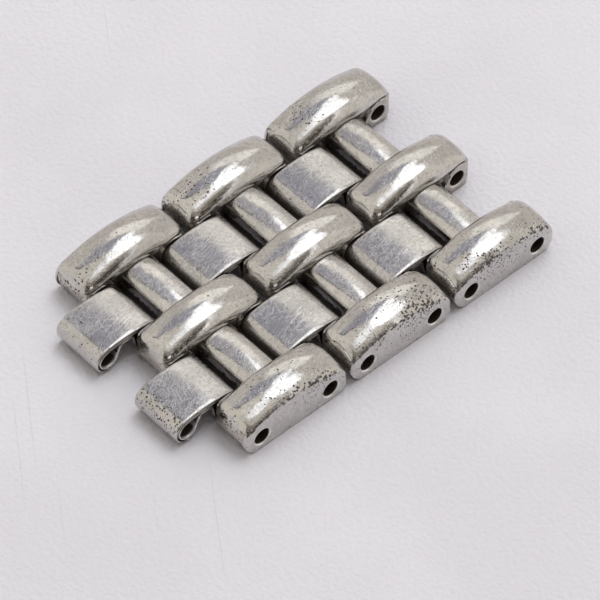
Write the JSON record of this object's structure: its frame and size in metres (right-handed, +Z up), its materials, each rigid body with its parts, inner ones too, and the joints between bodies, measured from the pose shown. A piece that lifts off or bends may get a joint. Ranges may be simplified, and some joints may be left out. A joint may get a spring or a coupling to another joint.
{
  "type": "watch bracelet link",
  "caption": "Short length of folded steel watch bracelet: domed bars and barrel spacers, joined by folded connector loops that turn on hidden pins.",
  "frame": {"origin": "under the middle of the middle link, on the surface that the bracelet rests on", "axes": "+X along the bracelet towards the end with the empty pin hole, +Y across it along the pins, +Z up through the domes"},
  "size_m": [0.0283, 0.0182, 0.0033],
  "materials": {
    "cap_steel": "worn polish, pitted",
    "core_steel": "worn polish",
    "spacer_steel": "worn polish, fine scratches",
    "loop_steel": "worn polish, fine scratches",
    "pin_steel": "dull, grimy"
  },
  "bodies": {
    "link_a": {"link_a_near_cap": "cap_steel", "link_a_near_core": "core_steel", "link_a_centre_cap": "cap_steel", "link_a_centre_core": "core_steel", "link_a_far_cap": "cap_steel", "link_a_far_core": "core_steel", "link_a_near_spacer": "spacer_steel", "link_a_far_spacer": "spacer_steel", "pin_a_left": "pin_steel", "pin_a_right": "pin_steel"},
    "link_b": {"link_b_near_cap": "cap_steel", "link_b_near_core": "core_steel", "link_b_centre_cap": "cap_steel", "link_b_centre_core": "core_steel", "link_b_far_cap": "cap_steel", "link_b_far_core": "core_steel", "link_b_near_spacer": "spacer_steel", "link_b_far_spacer": "spacer_steel", "pin_b_left": "pin_steel", "pin_b_right": "pin_steel"},
    "link_c": {"link_c_near_cap": "cap_steel", "link_c_near_core": "core_steel", "link_c_centre_cap": "cap_steel", "link_c_centre_core": "core_steel", "link_c_far_cap": "cap_steel", "link_c_far_core": "core_steel", "link_c_near_spacer": "spacer_steel", "link_c_far_spacer": "spacer_steel", "pin_c_left": "pin_steel"},
    "loops_ab": {"loop_ab_near": "loop_steel", "loop_ab_far": "loop_steel"},
    "loops_bc": {"loop_bc_near": "loop_steel", "loop_bc_far": "loop_steel"},
    "free_loop_near": {"loop_free_near": "loop_steel"},
    "free_loop_far": {"loop_free_far": "loop_steel"}
  },
  "joints": [
    {"name": "loops_ab_on_link_b", "type": "hinge", "parent": "link_b", "child": "loops_ab", "pos_m": [-0.0028, 0, 0.00105], "axis": [0, -1, 0], "range_deg": [-8, 50]},
    {"name": "link_a_on_loops_ab", "type": "hinge", "parent": "loops_ab", "child": "link_a", "pos_m": [-0.00587, 0, 0.00105], "axis": [0, -1, 0], "range_deg": [-8, 50]},
    {"name": "free_near_on_link_a", "type": "hinge", "parent": "link_a", "child": "free_loop_near", "pos_m": [-0.01147, 0, 0.00105], "axis": [0, -1, 0], "range_deg": [-90, 90]},
    {"name": "free_far_on_link_a", "type": "hinge", "parent": "link_a", "child": "free_loop_far", "pos_m": [-0.01147, 0, 0.00105], "axis": [0, -1, 0], "range_deg": [-90, 90]},
    {"name": "loops_bc_on_link_b", "type": "hinge", "parent": "link_b", "child": "loops_bc", "pos_m": [0.0028, 0, 0.00105], "axis": [0, 1, 0], "range_deg": [-8, 50]},
    {"name": "link_c_on_loops_bc", "type": "hinge", "parent": "loops_bc", "child": "link_c", "pos_m": [0.00587, 0, 0.00105], "axis": [0, 1, 0], "range_deg": [-8, 50]}
  ]
}
